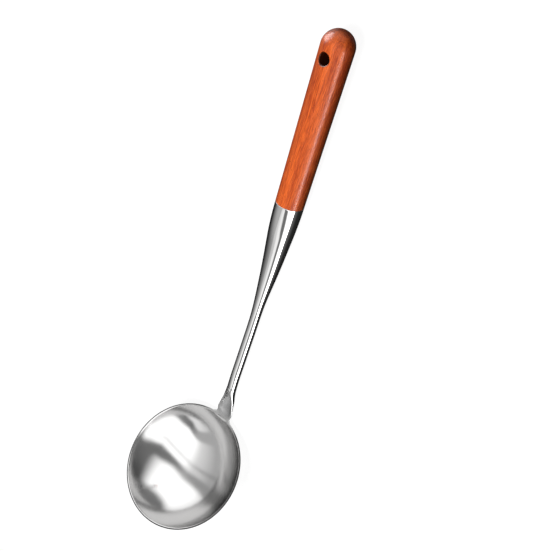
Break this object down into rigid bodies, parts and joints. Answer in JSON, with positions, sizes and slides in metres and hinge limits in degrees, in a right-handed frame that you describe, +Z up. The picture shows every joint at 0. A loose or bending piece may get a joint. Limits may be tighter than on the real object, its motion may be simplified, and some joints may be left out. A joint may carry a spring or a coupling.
{
  "type": "cooking ladle",
  "caption": "Polished steel ladle with a round dish, a slim shank that flares to a socket, and a turned hardwood handle with a hanging hole.",
  "frame": {"origin": "on the table, under the middle of the whole length, with the ladle lying the way it rests: the dish and the mouth of the socket touch the table", "axes": "+X runs along the ladle from the dish to the butt of the handle, +Z is up, Y is across"},
  "size_m": [0.4365, 0.11, 0.0758],
  "materials": {
    "polished_dish": "polished",
    "ground_weld": "polished",
    "polished_shank": "polished",
    "lacquered_wood": "gloss lacquer",
    "plain_pin": "satin"
  },
  "bodies": {
    "root": {"bowl": "polished_dish", "neck_weld": "ground_weld", "shank": "polished_shank", "handle": "lacquered_wood", "retaining_pin": "plain_pin"}
  },
  "joints": []
}
